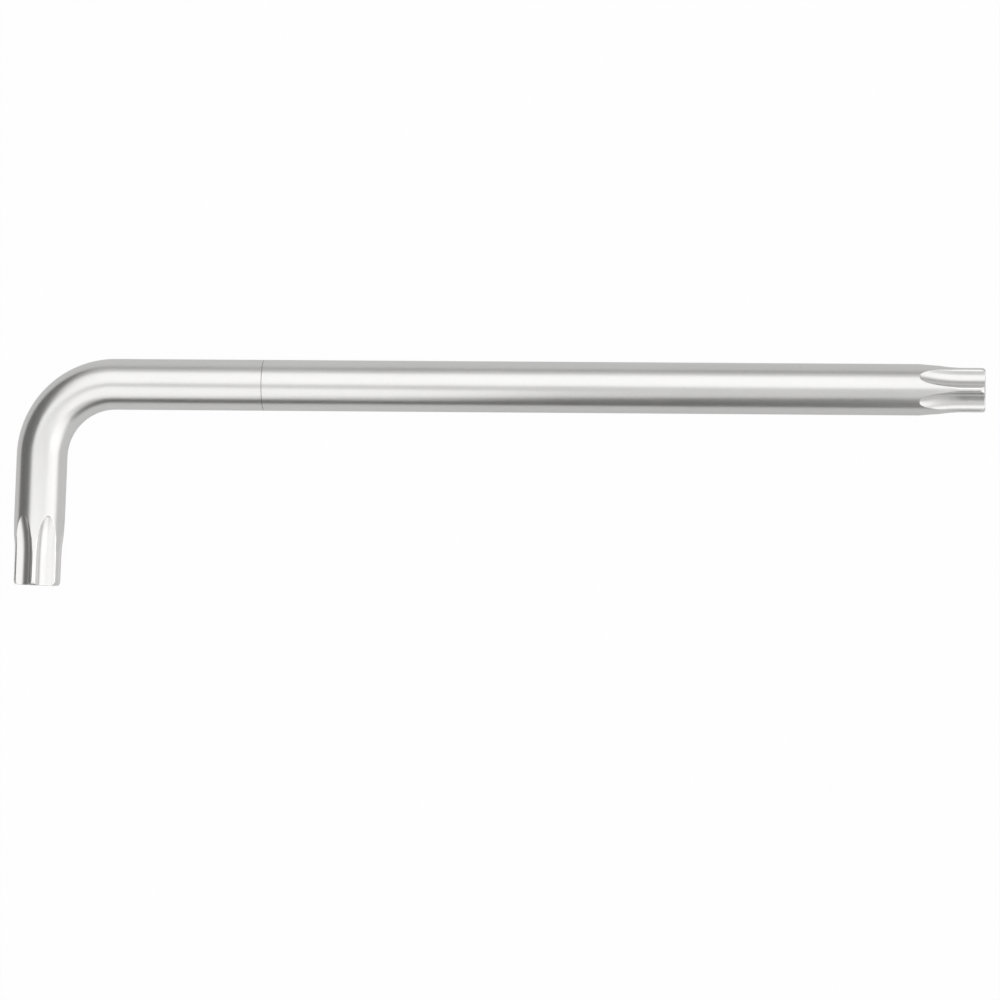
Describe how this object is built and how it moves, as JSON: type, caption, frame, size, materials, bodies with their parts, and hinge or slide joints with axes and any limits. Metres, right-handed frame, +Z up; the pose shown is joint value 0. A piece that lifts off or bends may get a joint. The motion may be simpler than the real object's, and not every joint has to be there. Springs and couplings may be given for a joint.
{
  "type": "star key",
  "caption": "L-shaped hand key of round satin-chromed bar, with a lobed star tip on the end of each arm for turning screws that have a star recess.",
  "frame": {"origin": "middle of the key's box, on the surface that the key lies on", "axes": "+X along the long arm towards its star end, +Y away from the short arm, +Z up from the surface"},
  "size_m": [0.1718, 0.0404, 0.009],
  "materials": {
    "satin_chrome": "satin"
  },
  "bodies": {
    "root": {"bent_arm": "satin_chrome", "long_shaft": "satin_chrome"}
  },
  "joints": []
}
